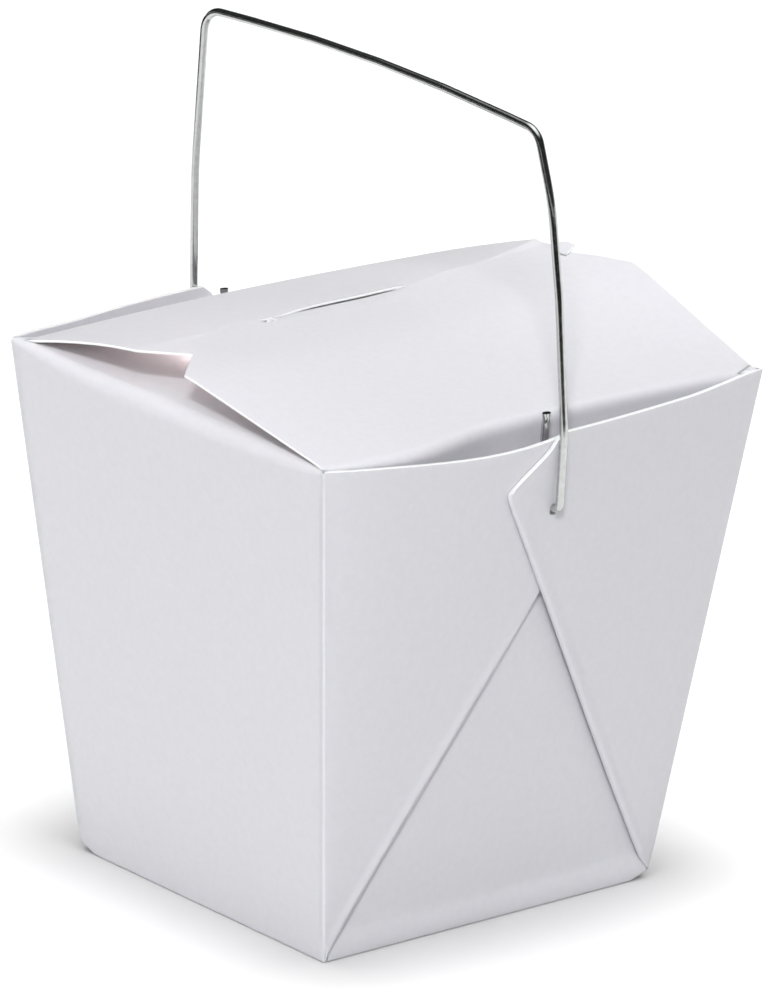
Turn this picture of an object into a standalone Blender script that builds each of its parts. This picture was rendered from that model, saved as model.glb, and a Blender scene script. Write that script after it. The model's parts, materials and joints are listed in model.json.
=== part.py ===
"""Shut noodle takeaway box: a white board carton folded from one blank, carried by a galvanised wire bail.

Metres, +Z up. The origin is the middle of the base. The wire passes through the two gusset ends, which
face +X and -X; the two plain sides face +Y and -Y. One end is the other turned half a turn about Z.
"""

import math

import bmesh
import bpy
from mathutils import Matrix, Vector

# --- Carton: a tapered box, measured on the outside ---
HEIGHT = 0.1016                 # base to the score lines that the lid flaps fold on
BASE_HALF_X, TOP_HALF_X = 0.0364, 0.0461
BASE_HALF_Y, TOP_HALF_Y = 0.0405, 0.0540
EDGE_RADIUS = 0.0013            # the rounding of the scored upright edges
BASE_CORNER = 0.0036            # the softer rounding of the four base corners
BASE_TUCK = 0.0005              # how far the base edge turns under
BASE_ROUND_HEIGHT = 0.0022
SIDE_ROLL = 0.0026              # the rounded top fold of a plain side
BOARD = 0.0005                  # coated board

# --- Gusset ends: two folded webs that overlap over the end panel and bow outward ---
WEB = 0.0009                    # a web is the board folded back on itself
OVER_WEB_RISE = 0.0007          # how far the lapping web stands proud of the lapped one
FOLD_STEP = 0.0011              # how far a web stands proud of the end panel below
STEP_SHARES = (0.70, 0.92)      # shares of the half-width between which that step runs out
WEB_FOOT = 0.0055               # where a web's fold leaves the bottom corner
WEB_TUCK = 0.0008               # how far a web's edge is let into the upright corner
WEB_ROOT = 0.0022               # how deep a web's solid reaches into the body
FOLD_TOP = Vector((-0.0127, 0.0914))   # y, z where the lapping web's fold ends in a point
OVER_DIP = 0.0002               # how far the lapping web's rim sags
# Per end: half turn, bow and its skew, sag of the lapped rim, y where the slanted cut above the fold's
# point meets the rim, and the pocket's two ends as shares of the half-width.
NEAR_END = {
    "turn": 0.0, "bow": 0.0054, "skew": 0.72, "dip": 0.0010, "notch_y": -0.0016, "pocket": (-0.90, 0.80),
}
FAR_END = {
    "turn": math.pi, "bow": 0.0071, "skew": 1.0, "dip": 0.0020, "notch_y": 0.0004, "pocket": (-0.84, 0.84),
}

# --- Gap behind the webs, open at the rim, where the wire's turned-up tails swing ---
POCKET_FLOOR = 0.0800
POCKET_PAST_RIM = 0.003         # how far the pocket is cut past the rim
PANEL_SKIN = 0.0001             # clearance kept off the end panel
POCKET_LEAST = 0.0006           # its least width
LAPPED_END = 0.16               # share of the half-width where the lapped web ends behind the lapping one
LAPPING_INSET = 0.00015         # how far the lapping web alone reaches behind the face it laps

# --- Lid: two big flaps, the +X one on top, with its tab in the slit of the -X one ---
LID_RISE = 0.0070               # how far the flaps' free ends stand above the scores
LID_LIFT = 0.0050               # extra rise towards the +Y side, where the lid springs up
LIFT_START, LIFT_SPAN, LIFT_POWER = 0.005, 0.046, 1.8
ROLL_EDGE, ROLL_MIDDLE = 0.0003, 0.0016   # height of the rounded fold at the corners and between them
ROLL_REACH = 0.0025
NEAR_CLIMB = (0.0424, 0.0369)   # length over which the top flap climbs, at -Y and at +Y
LEVEL_OFF = 0.15                # share of that length, before and after its end, over which it levels off
NEAR_TAPER, NEAR_SKEW = 0.0003, 0.0007    # narrowing and sideways lean of the top flap towards its free end
# Free edge of the top flap as y, x: a straight middle and a cut-back corner at each side.
NEAR_EDGE = (
    (-0.0540, 0.0035), (-0.0430, -0.0067), (-0.0380, -0.0120), (-0.0280, -0.0157),
    (0.0280, -0.0157), (0.0390, -0.0120), (0.0450, -0.0090), (0.0493, -0.0030), (0.0540, 0.0085),
)
SLIT_X = -0.0155
FAR_CLIMB = (0.0330, 0.0300)    # length over which the lower flap climbs
FAR_BEND = (1.5, 1.0)           # how strongly it bends while climbing, at the middle and at +Y
FAR_STRAIGHT_Y = 0.050          # where it no longer bends
# Half-width of the lower flap as x, y; from the second stop on it is hidden by the top flap.
FAR_SIDE = ((-0.0461, 0.0535), (-0.0146, 0.0497), (-0.0070, 0.0424), (0.0060, 0.0330))
FAR_BETWEEN = (-0.0445, 0.0040)   # stretch of x where it is divided evenly
SLIT_HALF, SLIT_WIDTH, SLIT_DEPTH = 0.0196, 0.0011, 0.0035
LID_ROOT = 0.0040               # how deep the lid's solid reaches below the scores
ROOT_INSET = 0.0008             # how far that root is set in from the scores

# --- Gaps along the plain sides, between the tucked side flaps and the big flaps ---
SIDE_GAP_DEPTH = 0.0150
SIDE_GAP_HALF = 0.0428          # its half-length
SIDE_GAP_LEAST = 0.0006         # its least height
SIDE_FLAP_SLOPE = 0.20
OVERLAP_X = 0.003               # the lower flap is the underside up to here, and the top one beyond

# --- Wire bail ---
WIRE_RADIUS = 0.00078
HOLE_CLEAR = 0.00035            # free space all round the wire in its hole
HOLE_INSIDE, HOLE_OUTSIDE = 0.0465, 0.0560   # distance of the holes' two ends from the middle
HINGE_Y, HINGE_Z = -0.0011, 0.0863
BAIL_LEAN = math.radians(3.2)   # the bail leans to -Y
NEAR_TAIL_LEAN, FAR_TAIL_LEAN = math.radians(1.4), math.radians(-1.4)
# Corners of the wire's route: x, distance from the hinge axis, lean to -Y, radius of the bend.
BAIL_ROUTE = (
    (0.0474, 0.0182, NEAR_TAIL_LEAN, 0.0),
    (0.0461, 0.0000, NEAR_TAIL_LEAN, 0.0014),
    (0.0518, 0.0000, BAIL_LEAN, 0.0016),
    (0.0530, 0.0150, BAIL_LEAN, 0.030),
    (0.0514, 0.0410, BAIL_LEAN, 0.080),
    (0.0492, 0.0590, BAIL_LEAN, 0.045),
    (0.0451, 0.0723, BAIL_LEAN, 0.0040),
    (0.0000, 0.0755, BAIL_LEAN, 0.540),
    (-0.0509, 0.0721, BAIL_LEAN, 0.0055),
    (-0.0544, 0.0392, BAIL_LEAN, 0.120),
    (-0.0551, 0.0150, BAIL_LEAN, 0.050),
    (-0.0542, 0.0000, BAIL_LEAN, 0.0016),
    (-0.0462, 0.0000, FAR_TAIL_LEAN, 0.0014),
    (-0.0475, 0.0168, FAR_TAIL_LEAN, 0.0),
)


def lerp(a, b, t):
    return a + (b - a) * t


def clamp(value, low, high):
    return max(low, min(high, value))


def half_x(z):
    return lerp(BASE_HALF_X, TOP_HALF_X, z / HEIGHT)


def half_y(z):
    return lerp(BASE_HALF_Y, TOP_HALF_Y, z / HEIGHT)


def bow(end, share, z):
    """How far an end stands out of its flat plane; share runs -1 to 1 across it."""
    across = clamp((share + 1) / 2, 0.0, 1.0)
    return end["bow"] * z / HEIGHT * math.sin(math.pi * across ** end["skew"])


def end_x(end, share, z):
    return half_x(z) + bow(end, share, z)


def panel_step(share):
    """How far the end panel lies behind the webs."""
    full, none = STEP_SHARES
    return FOLD_STEP * clamp((none - abs(share)) / (none - full), 0.0, 1.0)


def stepped(stops, at):
    """Value at a place along a line through pairs of place and value."""
    for (a, value_a), (b, value_b) in zip(stops, stops[1:]):
        if at <= b:
            return lerp(value_a, value_b, clamp((at - a) / (b - a), 0.0, 1.0))
    return stops[-1][1]


# --- Building closed meshes ---
def add_object(name, bm, turn=0.0):
    mesh = bpy.data.meshes.new(name)
    bmesh.ops.triangulate(bm, faces=bm.faces)
    bmesh.ops.recalc_face_normals(bm, faces=bm.faces)
    bm.to_mesh(mesh)
    bm.free()
    obj = bpy.data.objects.new(name, mesh)
    obj.rotation_euler.z = turn
    bpy.context.scene.collection.objects.link(obj)
    return obj


def as_guide(obj):
    obj.hide_render = True
    obj.display_type = "WIRE"
    return obj


def join_rows(bm, rows, closed=False):
    """Quads between neighbouring rows of vertices; a closed row joins its last vertex to its first."""
    for lower, upper in zip(rows, rows[1:]):
        count = len(lower) if closed else len(lower) - 1
        for i in range(count):
            k = (i + 1) % len(lower)
            bm.faces.new((lower[i], lower[k], upper[k], upper[i]))


def slab(name, outer, inner, turn=0.0):
    """A closed solid between two grids of points that have the same number of rows and columns."""
    bm = bmesh.new()
    front = [[bm.verts.new(p) for p in row] for row in outer]
    back = [[bm.verts.new(p) for p in row] for row in inner]
    join_rows(bm, front)
    join_rows(bm, back)
    around = (
        (front[0], back[0]),
        (front[-1], back[-1]),
        ([row[0] for row in front], [row[0] for row in back]),
        ([row[-1] for row in front], [row[-1] for row in back]),
    )
    for side in around:
        join_rows(bm, side)
    return add_object(name, bm, turn=turn)


def spread(low, high, count):
    return [lerp(low, high, i / (count - 1)) for i in range(count)]


def boolean(target, tool, operation):
    modifier = target.modifiers.new(tool.name, "BOOLEAN")
    modifier.operation = operation
    modifier.solver = "EXACT"
    modifier.object = tool


# --- Carton body ---
def body_ring(z, radius, tuck, roll):
    """One level of the body: bowed ends, flat plain sides and rounded corners."""
    reach_y = half_y(z) - tuck - roll
    reach_x = half_x(z) - tuck
    points = []
    for end, sign in ((NEAR_END, 1), (FAR_END, -1)):
        for share in spread(-1, 1, 13):
            y = share * (reach_y - radius)
            x = reach_x + bow(end, share, z) - panel_step(share)
            points.append(Vector((sign * x, sign * y, z)))
        corner = Vector((sign * (reach_x - radius), sign * (reach_y - radius), z))
        for angle in (30, 60, 90):
            a = math.radians(angle)
            points.append(corner + sign * radius * Vector((math.cos(a), math.sin(a), 0)))
        for share in (0.5, 0.0, -0.5):
            points.append(Vector((sign * share * reach_x, sign * reach_y, z)))
        far_corner = Vector((-sign * (reach_x - radius), sign * (reach_y - radius), z))
        for angle in (90, 60, 30):
            a = math.radians(angle)
            points.append(far_corner + radius * Vector((-sign * math.cos(a), sign * math.sin(a), 0)))
    return points


def make_body():
    """Rings from the base up, as height, corner radius, how far the side turns under and how far it rolls in."""
    levels = [
        (0.0, BASE_CORNER, BASE_TUCK, 0.0),
        (BASE_ROUND_HEIGHT * 0.3, BASE_CORNER * 0.9, BASE_TUCK * 0.3, 0.0),
        (BASE_ROUND_HEIGHT, BASE_CORNER * 0.7, 0.0, 0.0),
        (BASE_ROUND_HEIGHT * 3, EDGE_RADIUS, 0.0, 0.0),
    ]
    for share in (0.2, 0.4, 0.6, 0.8):
        levels.append((HEIGHT * share, EDGE_RADIUS, 0.0, 0.0))
    for angle in (0, 30, 60, 80):
        a = math.radians(angle)
        rise = SIDE_ROLL * (math.sin(a) - 1)
        levels.append((HEIGHT + rise, EDGE_RADIUS, 0.0, SIDE_ROLL * (1 - math.cos(a))))
    bm = bmesh.new()
    rings = [[bm.verts.new(p) for p in body_ring(*level)] for level in levels]
    join_rows(bm, rings, closed=True)
    bm.faces.new(rings[0])
    bm.faces.new(rings[-1])
    return add_object("carton", bm)


# --- Gusset webs ---
def web_rows(end, rise, side, dip):
    """Outer face of a web; side is 1 for the lapping web, from the +Y corner, and -1 for the lapped one."""
    foot = half_y(0)
    rows = []
    heights = spread(WEB_FOOT, FOLD_TOP.y, 9) + spread(FOLD_TOP.y, HEIGHT, 4)[1:]
    for z in heights:
        if z <= FOLD_TOP.y:
            inner_y = lerp(foot, FOLD_TOP.x, z / FOLD_TOP.y)
        else:
            inner_y = lerp(FOLD_TOP.x, end["notch_y"], (z - FOLD_TOP.y) / (HEIGHT - FOLD_TOP.y))
        row = []
        for t in spread(0, 1, 9):
            y = lerp(inner_y, half_y(z) - EDGE_RADIUS, t)
            share = side * y / half_y(z)
            level = z * (1 - dip / HEIGHT * math.cos(math.pi / 2 * share))
            proud = rise * (1 - t ** 3) if t < 1 else -WEB_TUCK
            row.append(Vector((end_x(end, share, z) + proud, side * y, level)))
        rows.append(row)
    return rows


def make_web(name, end, rise, side, dip):
    outer = web_rows(end, rise, side, dip)
    depth = Vector((WEB_ROOT, 0, 0))
    inner = [[p - depth for p in row] for row in outer]
    return as_guide(slab(name, outer, inner, turn=end["turn"]))


def make_pocket(name, end):
    """The lens-shaped gap between an end panel and its webs."""
    outer, inner = [], []
    for z in (POCKET_FLOOR, lerp(POCKET_FLOOR, HEIGHT, 0.5), HEIGHT, HEIGHT + POCKET_PAST_RIM):
        level = min(z, HEIGHT)
        row_out, row_in = [], []
        for share in spread(*end["pocket"], 13):
            y = share * half_y(level)
            wall_in = half_x(level) + PANEL_SKIN
            web_wall = WEB if share < LAPPED_END else LAPPING_INSET
            wall_out = max(end_x(end, share, level) - web_wall, wall_in + POCKET_LEAST)
            row_out.append(Vector((wall_out, y, z)))
            row_in.append(Vector((wall_in, y, z)))
        outer.append(row_out)
        inner.append(row_in)
    return as_guide(slab(name, outer, inner, turn=end["turn"]))


# --- Lid ---
def free_rise(y):
    lift = max(0.0, (y - LIFT_START) / LIFT_SPAN)
    return LID_RISE + LID_LIFT * lift ** LIFT_POWER


def flap_rise(from_fold, y, climbed, free):
    """Height of a flap: a rounded fold, then a climb to the height of its free end."""
    middle = 1 - (y / TOP_HALF_Y) ** 2
    crown = lerp(ROLL_EDGE, ROLL_MIDDLE, max(0.0, middle))
    roll = crown * (1 - (1 - clamp(from_fold / ROLL_REACH, 0.0, 1.0)) ** 2)
    return roll * (1 - climbed) + free * climbed


def across_lid(pair, y):
    """One of the lid's values, going evenly from the -Y side to the +Y side."""
    return lerp(*pair, clamp((y / TOP_HALF_Y + 1) / 2, 0.0, 1.0))


def near_rise(x, y):
    """Height of the top flap above the scores."""
    run = TOP_HALF_X - x
    along = clamp(run / across_lid(NEAR_CLIMB, y), 0.0, 1 + LEVEL_OFF)
    levelling = max(0.0, along - 1 + LEVEL_OFF)
    return flap_rise(run, y, along - levelling ** 2 / (4 * LEVEL_OFF), free_rise(y))


def far_rise(x, y):
    """Height of the lower flap above the scores."""
    run = TOP_HALF_X + x
    along = clamp(run / across_lid(FAR_CLIMB, y), 0.0, 1.0)
    bend = lerp(*FAR_BEND, clamp(y / FAR_STRAIGHT_Y, 0.0, 1.0))
    return flap_rise(run, y, 1 - (1 - along) ** bend, free_rise(y) - BOARD)


def make_near_flap():
    stops = [y for y, _ in NEAR_EDGE]
    sides = sorted(stops + [-0.050, -0.046, -0.034, -0.017, 0.0, 0.012, 0.020, 0.034, 0.042, 0.0515])
    top, bottom = [], []
    for along in spread(0, 1, 12):
        row_top, row_bottom = [], []
        for side in sides:
            x = lerp(TOP_HALF_X, stepped(NEAR_EDGE, side), along)
            edge = TOP_HALF_Y - BOARD - NEAR_TAPER * along
            y = side / TOP_HALF_Y * edge + NEAR_SKEW * along
            row_top.append(Vector((x, y, HEIGHT + near_rise(x, y))))
            row_bottom.append(Vector((min(x, TOP_HALF_X - ROOT_INSET), y, HEIGHT - LID_ROOT)))
        top.append(row_top)
        bottom.append(row_bottom)
    return as_guide(slab("near_flap", top, bottom))


def make_far_flap():
    places = sorted([x for x, _ in FAR_SIDE] + spread(*FAR_BETWEEN, 12))
    top, bottom = [], []
    for x in places:
        reach = stepped(FAR_SIDE, x)
        row_top, row_bottom = [], []
        for share in spread(-1, 1, 15):
            y = share * reach
            row_top.append(Vector((x, y, HEIGHT + far_rise(x, y))))
            row_bottom.append(Vector((max(x, ROOT_INSET - TOP_HALF_X), y, HEIGHT - LID_ROOT)))
        top.append(row_top)
        bottom.append(row_bottom)
    return as_guide(slab("far_flap", top, bottom))


def lid_under(x, y):
    """Underside of whichever big flap is lowest at a place."""
    rise = near_rise(x, y) if x > OVERLAP_X else far_rise(x, y)
    return HEIGHT + rise - BOARD


def make_side_gap(name, side):
    """The gap between a tucked side flap and the big flaps above it."""
    top, bottom = [], []
    for x in spread(-SIDE_GAP_HALF, SIDE_GAP_HALF, 13):
        row_top, row_bottom = [], []
        for depth in spread(-1.5 * SIDE_ROLL, SIDE_GAP_DEPTH, 5):
            y = side * (TOP_HALF_Y - SIDE_ROLL - depth)
            floor = HEIGHT - SIDE_FLAP_SLOPE * depth if depth > 0 else HEIGHT + BOARD
            roof = max(lid_under(x, y), floor + SIDE_GAP_LEAST)
            row_top.append(Vector((x, y, roof)))
            row_bottom.append(Vector((x, y, floor)))
        top.append(row_top)
        bottom.append(row_bottom)
    return as_guide(slab(name, top, bottom))


def make_slit():
    bm = bmesh.new()
    place = Matrix.Translation((SLIT_X - SLIT_WIDTH / 2, 0, HEIGHT + LID_RISE))
    size = Matrix.Diagonal((SLIT_WIDTH, 2 * SLIT_HALF, 2 * SLIT_DEPTH, 1))
    bmesh.ops.create_cube(bm, size=1.0, matrix=place @ size)
    return as_guide(add_object("slit", bm))


def make_hole(name, sign):
    """The round hole that the wire passes through, from the pocket to clear of the outer face."""
    bm = bmesh.new()
    place = Matrix.Translation((sign * lerp(HOLE_INSIDE, HOLE_OUTSIDE, 0.5), HINGE_Y, HINGE_Z))
    radius = WIRE_RADIUS + HOLE_CLEAR
    bmesh.ops.create_cone(
        bm, cap_ends=True, segments=16, radius1=radius, radius2=radius, depth=HOLE_OUTSIDE - HOLE_INSIDE,
        matrix=place @ Matrix.Rotation(math.pi / 2, 4, "Y"),
    )
    return as_guide(add_object(name, bm))


# --- Wire ---
def bent_route(corners):
    """Points along straight runs joined by arcs; a corner is a place and its bend radius."""
    points = [corners[0][0]]
    for (before, _), (corner, radius), (after, _) in zip(corners, corners[1:], corners[2:]):
        back = (before - corner).normalized()
        ahead = (after - corner).normalized()
        turn = math.pi - back.angle(ahead)
        reach = radius * math.tan(turn / 2)
        centre = corner + (back + ahead).normalized() * radius / math.cos(turn / 2)
        start = corner + back * reach - centre
        steps = max(2, round(math.degrees(turn) / 11))
        axis = back.cross(ahead).normalized()
        for i in range(steps + 1):
            points.append(centre + Matrix.Rotation(-turn * i / steps, 3, axis) @ start)
    points.append(corners[-1][0])
    return points


def bail_corner(x, reach, lean, radius):
    """A corner of the wire's route, from the hinge axis."""
    return Vector((x, -reach * math.sin(lean), reach * math.cos(lean))), radius


def make_wire():
    route = bent_route([bail_corner(*corner) for corner in BAIL_ROUTE])
    curve = bpy.data.curves.new("wire_handle", "CURVE")
    curve.dimensions = "3D"
    curve.twist_mode = "MINIMUM"
    curve.bevel_depth = WIRE_RADIUS
    curve.bevel_resolution = 3
    curve.use_fill_caps = True
    spline = curve.splines.new("POLY")
    spline.points.add(len(route) - 1)
    for point, place in zip(spline.points, route):
        point.co = (*place, 1.0)
    obj = bpy.data.objects.new("wire_handle", curve)
    obj.location = (0.0, HINGE_Y, HINGE_Z)
    bpy.context.scene.collection.objects.link(obj)
    return obj


# --- Materials ---
def finish(obj, colour, roughness, metallic):
    material = bpy.data.materials.new(obj.name)
    material.use_nodes = True
    shader = material.node_tree.nodes["Principled BSDF"]
    shader.inputs["Base Color"].default_value = (*colour, 1.0)
    shader.inputs["Roughness"].default_value = roughness
    shader.inputs["Metallic"].default_value = metallic
    obj.data.materials.append(material)


for old in list(bpy.data.objects):
    bpy.data.objects.remove(old, do_unlink=True)

carton = make_body()
for tool in (make_near_flap(), make_far_flap()):
    boolean(carton, tool, "UNION")
for label, end in (("near", NEAR_END), ("far", FAR_END)):
    boolean(carton, make_web(label + "_lapped_web", end, 0.0, -1, end["dip"]), "UNION")
    boolean(carton, make_web(label + "_lapping_web", end, OVER_WEB_RISE, 1, OVER_DIP), "UNION")
for label, side in (("left", -1), ("right", 1)):
    boolean(carton, make_side_gap(label + "_gap", side), "DIFFERENCE")
for label, end in (("near", NEAR_END), ("far", FAR_END)):
    boolean(carton, make_pocket(label + "_pocket", end), "DIFFERENCE")
boolean(carton, make_slit(), "DIFFERENCE")
for name, sign in (("near_hole", 1), ("far_hole", -1)):
    boolean(carton, make_hole(name, sign), "DIFFERENCE")
finish(carton, (0.80, 0.80, 0.82), 0.45, 0.0)

wire = make_wire()
finish(wire, (0.55, 0.56, 0.56), 0.35, 1.0)
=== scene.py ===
"""Looks of a shut noodle takeaway box: a folded sheet of white coated board and its wire bail."""

import json
import math

import bmesh
import bpy
from mathutils import Matrix, Vector


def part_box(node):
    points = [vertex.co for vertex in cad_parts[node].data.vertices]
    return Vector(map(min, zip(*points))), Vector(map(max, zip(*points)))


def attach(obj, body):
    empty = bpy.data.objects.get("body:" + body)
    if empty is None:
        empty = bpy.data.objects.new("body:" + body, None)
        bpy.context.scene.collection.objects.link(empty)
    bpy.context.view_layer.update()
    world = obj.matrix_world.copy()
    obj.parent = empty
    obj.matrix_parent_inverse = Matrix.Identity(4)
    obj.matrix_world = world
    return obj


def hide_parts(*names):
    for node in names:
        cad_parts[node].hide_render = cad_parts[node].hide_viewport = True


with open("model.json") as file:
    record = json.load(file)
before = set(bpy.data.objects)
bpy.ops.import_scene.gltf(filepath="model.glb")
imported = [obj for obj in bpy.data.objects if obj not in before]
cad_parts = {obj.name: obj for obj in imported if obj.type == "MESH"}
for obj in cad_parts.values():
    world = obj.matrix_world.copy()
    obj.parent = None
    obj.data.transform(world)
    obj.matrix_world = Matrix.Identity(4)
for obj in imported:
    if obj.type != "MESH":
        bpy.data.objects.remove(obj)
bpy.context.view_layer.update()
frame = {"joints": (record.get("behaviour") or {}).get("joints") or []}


# ------------------------------------------------------------------------------------------------
# Board carton. One sheet of white coated board, die cut and scored, folded up without glue:
# two plain sides, and two ends where folded webs lap over the end panel and are held by the wire.
# The whole blank is a single mesh: walls, base, side flaps and the two big lid flaps.
# ------------------------------------------------------------------------------------------------
_, carton_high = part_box("carton")
PIVOT = Vector(frame["joints"][0]["pos_m"])

HEIGHT = 0.1016                     # base to the lid scores
TOP_HALF_Y = carton_high.y
TOP_HALF_X = 0.0461
BASE_HALF_X, BASE_HALF_Y = 0.0364, 0.0405
BOARD = 0.00045
SCORE_BEND = 0.00047                # upright scored edges
FOOT_BEND, FOOT_BEND_HEIGHT = 0.00046, 0.014   # their foot, pinched by the webs
BASE_BEND = 0.0002

# Folded webs: two layers of board each. The lapping one runs on over the lapped one.
WEB = 2 * BOARD + 0.00006
FOLD_SLANT = 1.15                   # a level cut through a slanting fold is this much longer
FOLD_FOOT = 0.0402
FOLD_TOP = Vector((-0.0136, 0.0912))   # y, z of the point of a web
POINT_SOFT = 0.0011
LEAST_FOLD = 0.52                   # share of its thickness that a web keeps down to its foot
FULL_FOLD_WIDTH = 0.006             # a web as wide as this has its full thickness
LAPPED_SWELL, LAPPING_SWELL = 0.0003, 0.0004   # how far the folds of the webs spring open
SWELL_REACH = 0.0022
LOOSE_SLANT, LOOSE_SQUARE = 2.5, 1.7   # the lapped web's fold is loose low down, wide and flattened
LAPPED_LOOSE = (0.048, 0.018)       # height where a fold starts to close up, and over how much
LAPPING_LOOSE = (0.082, 0.008)
LAP_FOOT, LAP_TOP, LAP_FULL_HEIGHT = 0.0004, WEB + 0.00008, 0.068   # how proud the lapping web lies
OUTER_CROWDING = 1.15               # crowds a web's columns towards its fold

# The lapping webs' corners turn up at the foot and stand a little proud at the rim.
FOOT_LIFT, FOOT_REACH, FOOT_FADE = 0.0014, 0.0050, 0.007
PEAK, PEAK_REACH = 0.0010, 0.022
RIM_CORNER, RIM_ROUND = 0.0016, 0.8   # the webs' top corners at their cuts
LAP_DIP, SAG_SKEW = 0.0001, 1.8

# End panels: flat at the top, behind the webs that bow out, and pressed against them lower down.
PANEL_BEHIND = WEB + 0.0001         # how far the end panel sits behind the webs
PANEL_FOOT = 0.006                  # height over which the end panel settles behind the webs
PANEL_DROP = 0.0005
PRESSED_FROM, PRESSED_FADE = 0.064, 0.030
HUG, HUG_RISE = 0.88, (0.088, 0.010)   # the near end panel's top follows its lapped web this much
HUG_FROM, HUG_FADE = -0.040, 0.030
ENDS = {
    "near": {
        "bow": 0.0054, "skew": 0.72, "dip": 0.0010, "sag": 0.0013, "notch_y": -0.0016, "hug": HUG,
    },
    "far": {
        "bow": 0.0071, "skew": 1.0, "dip": 0.0020, "sag": 0.0003, "notch_y": 0.0004, "hug": 0,
    },
}


def lerp(a, b, t):
    return a + (b - a) * t


def clamp(value, low=0.0, high=1.0):
    return max(low, min(high, value))


def ease(t):
    t = clamp(t)
    return t * t * (3 - 2 * t)


def spread(low, high, count):
    return [lerp(low, high, i / (count - 1)) for i in range(count)]


def half_x(z):
    return lerp(BASE_HALF_X, TOP_HALF_X, z / HEIGHT)


def half_y(z):
    return lerp(BASE_HALF_Y, TOP_HALF_Y, z / HEIGHT)


def corner_bend(z):
    return lerp(FOOT_BEND, SCORE_BEND, ease(z / FOOT_BEND_HEIGHT))


def edge_y(z, inset=0.0):
    """Where the flat of an end stops and its upright corner starts to bend."""
    return half_y(z) - inset - corner_bend(z)


def end_x(end, y, z, inset=0.0):
    """Face of an end: flat at the corners and the base, bowed out between them."""
    across = clamp((y / edge_y(z, inset) + 1) / 2)
    return half_x(z) - inset + end["bow"] * z / HEIGHT * math.sin(math.pi * across ** end["skew"])


def web_edge(end, z):
    """Free edge of a web: its slanting fold, and above its point the cut up to the rim."""
    fold = (FOLD_TOP.x - FOLD_FOOT) / FOLD_TOP.y
    cut = (end["notch_y"] - FOLD_TOP.x) / (HEIGHT - FOLD_TOP.y)
    above = z - FOLD_TOP.y
    bend = math.sqrt(above ** 2 + POINT_SOFT ** 2)
    return FOLD_TOP.x + (fold + cut) / 2 * above + (cut - fold) / 2 * bend


def rim_height(end, y, laps):
    """Top of a web, which sags a little between the corners and rounds off at the cut."""
    dip = LAP_DIP if laps else end["dip"]
    sag = dip * math.cos(math.pi / 2 * clamp(y / TOP_HALF_Y, -1, 1))
    if not laps:
        along = clamp(1 - (y - end["notch_y"]) / TOP_HALF_Y)
        sag += end["sag"] * math.sin(math.pi * along ** SAG_SKEW)
    into = clamp((y - web_edge(end, HEIGHT - sag - RIM_CORNER)) / RIM_CORNER)
    peak = PEAK * (1 - ease((TOP_HALF_Y - y) / PEAK_REACH)) if laps else 0.0
    return HEIGHT + peak - sag - RIM_CORNER * (1 - math.sqrt(1 - (1 - into) ** 2)) * RIM_ROUND


# Columns of the end panels, which the lid flaps go on from, so that they match the tab's cuts.
TAB_HALF, TAB_NOTCH = 0.0165, 0.0034   # half the tab's width, and the relief cut at one end of it
TAB_CUTS = (TAB_HALF, TAB_HALF + 0.0002, TAB_HALF + TAB_NOTCH - 0.0002, TAB_HALF + TAB_NOTCH)
NEAR_SIDE, NEAR_SHIFT = 0.0529, 0.0007   # the top flap's free end: half its width, and its lean
INNER_COLUMNS, FOLD_COLUMNS, OUTER_COLUMNS = 12, 7, 34
SIDE_COLUMNS, BEND_COLUMNS = 41, 7
PANEL_SHARES = sorted(
    spread(-1, 1, 41)
    + [(side * cut - NEAR_SHIFT) / NEAR_SIDE for cut in TAB_CUTS for side in (1, -1)]
)
PANEL_COLUMNS = len(PANEL_SHARES)


def wall_z(level, top):
    """Height of a row: level runs 0 to 1 up to the webs' points, and 1 to 2 on to the top."""
    if level <= 1:
        return FOLD_TOP.y * level
    return lerp(FOLD_TOP.y, top, level - 1)


def web_share(width):
    """How much of a web's full thickness it has where it is this wide, near its foot."""
    return lerp(LEAST_FOLD, 1, ease(width / FULL_FOLD_WIDTH)) if width > 0 else 0.0


def web_points(end, laps, level, inset):
    """A level line through a web, from the end panel's edge round the fold to the corner."""
    z = wall_z(level, HEIGHT)
    reach = edge_y(z, inset)
    edge = min(web_edge(end, z), reach)
    width = reach - edge
    grown = web_share(width)
    loose_height, loose_fade = LAPPING_LOOSE if laps else LAPPED_LOOSE
    loose = 1 - ease((z - loose_height) / loose_fade)
    swell = (LAPPING_SWELL if laps else LAPPED_SWELL) * loose * grown
    slant = FOLD_SLANT if laps else lerp(FOLD_SLANT, LOOSE_SLANT, loose)
    square = 1.0 if laps else lerp(1.0, LOOSE_SQUARE, loose)
    bend = (WEB * grown + swell) / 2
    start = min(edge + bend * slant, reach)
    side = 1 if laps else -1

    def proud(y):
        if not laps:
            return 0.0
        along = clamp((y - edge) / max(width, 1e-6))
        return lerp(LAP_FOOT, LAP_TOP, ease(z / LAP_FULL_HEIGHT)) * (1 - along ** 3) * grown

    def sprung(y):
        return swell * (1 - ease((y - start) / SWELL_REACH))

    def place(y, depth):
        top = rim_height(end, y, laps)
        height = wall_z(level, top)
        return Vector((end_x(end, side * y, height, inset) + proud(y) - depth, side * y, height))

    points = [place(lerp(reach, start, t), WEB * grown) for t in spread(0, 1, INNER_COLUMNS)]
    for angle in spread(-90, 90, FOLD_COLUMNS + 2)[1:-1]:
        a = math.radians(angle)
        y = start - bend * slant * math.cos(a) ** square
        at = place(start, WEB * grown - bend - bend * math.copysign(abs(math.sin(a)) ** square, a))
        points.append(Vector((at.x, side * y, at.z)))
    for t in spread(0, 1, OUTER_COLUMNS):
        y = lerp(start, reach, t ** OUTER_CROWDING)
        points.append(place(y, -sprung(y)))
    return points


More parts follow.
